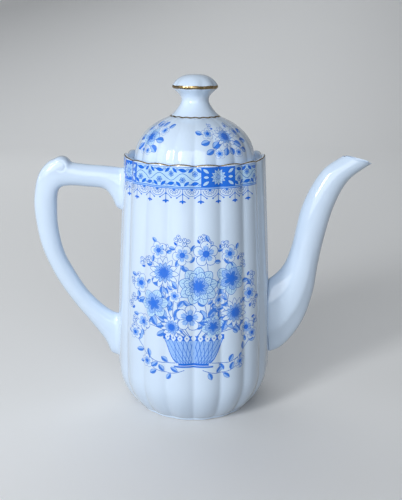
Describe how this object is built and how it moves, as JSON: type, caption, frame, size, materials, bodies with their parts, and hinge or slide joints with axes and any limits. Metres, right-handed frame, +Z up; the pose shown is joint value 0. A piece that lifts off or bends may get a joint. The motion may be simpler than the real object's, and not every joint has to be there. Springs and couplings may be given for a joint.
{
  "type": "coffee pot",
  "caption": "Tall fluted porcelain coffee pot with a beaked spout, a scroll handle and a domed lid that lifts off.",
  "frame": {"origin": "middle of the foot ring, on the surface the pot stands on", "axes": "+Z up along the pot's axis, +X towards the spout, -X towards the handle, -Y the side in front when the handle is on the left"},
  "size_m": [0.2377, 0.111, 0.2381],
  "materials": {
    "pot": "clear glaze over white porcelain with blue underglaze print",
    "spout": "clear glaze over white porcelain",
    "handle": "clear glaze over white porcelain",
    "lid": "clear glaze over white porcelain with blue underglaze sprays",
    "knob": "clear glaze over white porcelain with a burnished gold band"
  },
  "bodies": {
    "pot": {"pot_body": "pot", "spout": "spout", "handle": "handle"},
    "lid": {"lid_dome": "lid", "lid_knob": "knob"}
  },
  "joints": [
    {"name": "lid_lift", "type": "slide", "parent": "pot", "child": "lid", "axis": [0, 0, 1], "range_m": [0, 0.08]}
  ]
}
